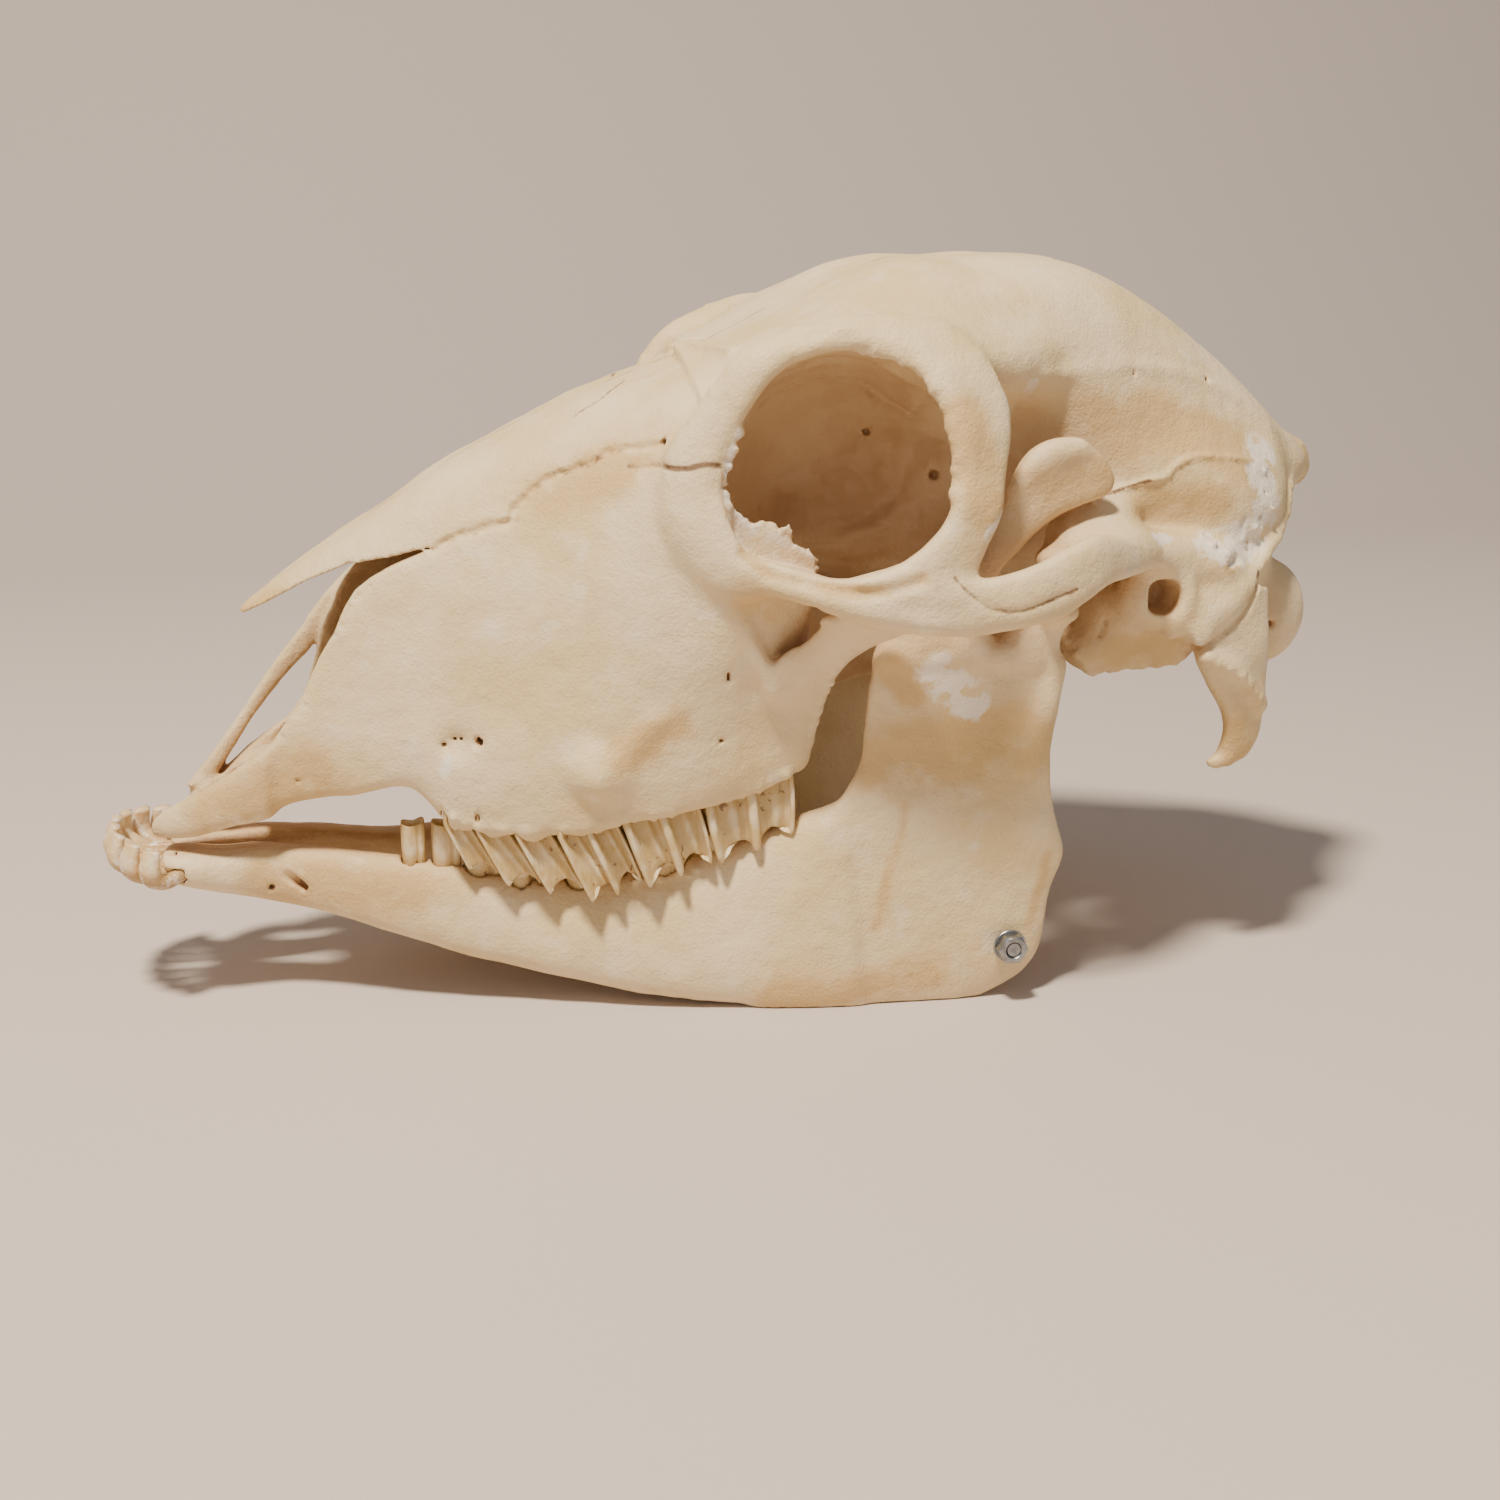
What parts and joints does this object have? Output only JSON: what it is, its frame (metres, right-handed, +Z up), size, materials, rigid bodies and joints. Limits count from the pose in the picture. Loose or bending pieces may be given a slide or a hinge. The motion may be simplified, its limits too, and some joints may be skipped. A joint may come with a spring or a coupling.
{
  "type": "sheep skull",
  "caption": "Dry skull of a hornless sheep with its lower jaw and teeth, standing on the lower jaw, with a threaded rod and nuts through the jaw angles.",
  "frame": {"origin": "middle of the footprint's box, on the surface the jaw stands on", "axes": "-X towards the snout, -Y towards the animal's left side, +Z up"},
  "size_m": [0.2588, 0.123, 0.1471],
  "materials": {
    "cranium_bone": "matte, dry and slightly porous",
    "jaw_bone": "matte, dry and slightly porous",
    "cheek_teeth": "satin, stained between the ridges",
    "incisors": "satin, orange-yellow",
    "steel": "zinc-plated"
  },
  "bodies": {
    "root": {"cranium": "cranium_bone", "mandible_left": "jaw_bone", "mandible_right": "jaw_bone", "upper_premolar_2_left": "cheek_teeth", "upper_premolar_3_left": "cheek_teeth", "upper_premolar_4_left": "cheek_teeth", "upper_molar_1_left": "cheek_teeth", "upper_molar_2_left": "cheek_teeth", "upper_molar_3_left": "cheek_teeth", "upper_premolar_2_right": "cheek_teeth", "upper_premolar_3_right": "cheek_teeth", "upper_premolar_4_right": "cheek_teeth", "upper_molar_1_right": "cheek_teeth", "upper_molar_2_right": "cheek_teeth", "upper_molar_3_right": "cheek_teeth", "lower_premolar_2_left": "cheek_teeth", "lower_premolar_3_left": "cheek_teeth", "lower_premolar_4_left": "cheek_teeth", "lower_molar_1_left": "cheek_teeth", "lower_molar_2_left": "cheek_teeth", "lower_molar_3_left": "cheek_teeth", "lower_premolar_4_right": "cheek_teeth", "lower_molar_1_right": "cheek_teeth", "lower_molar_2_right": "cheek_teeth", "lower_molar_3_right": "cheek_teeth", "incisor_1_left": "incisors", "incisor_2_left": "incisors", "incisor_3_left": "incisors", "incisor_4_left": "incisors", "incisor_1_right": "incisors", "incisor_2_right": "incisors", "incisor_3_right": "incisors", "incisor_4_right": "incisors", "threaded_rod": "steel", "washer_left": "steel", "nut_left": "steel", "washer_right": "steel", "nut_right": "steel"}
  },
  "joints": []
}
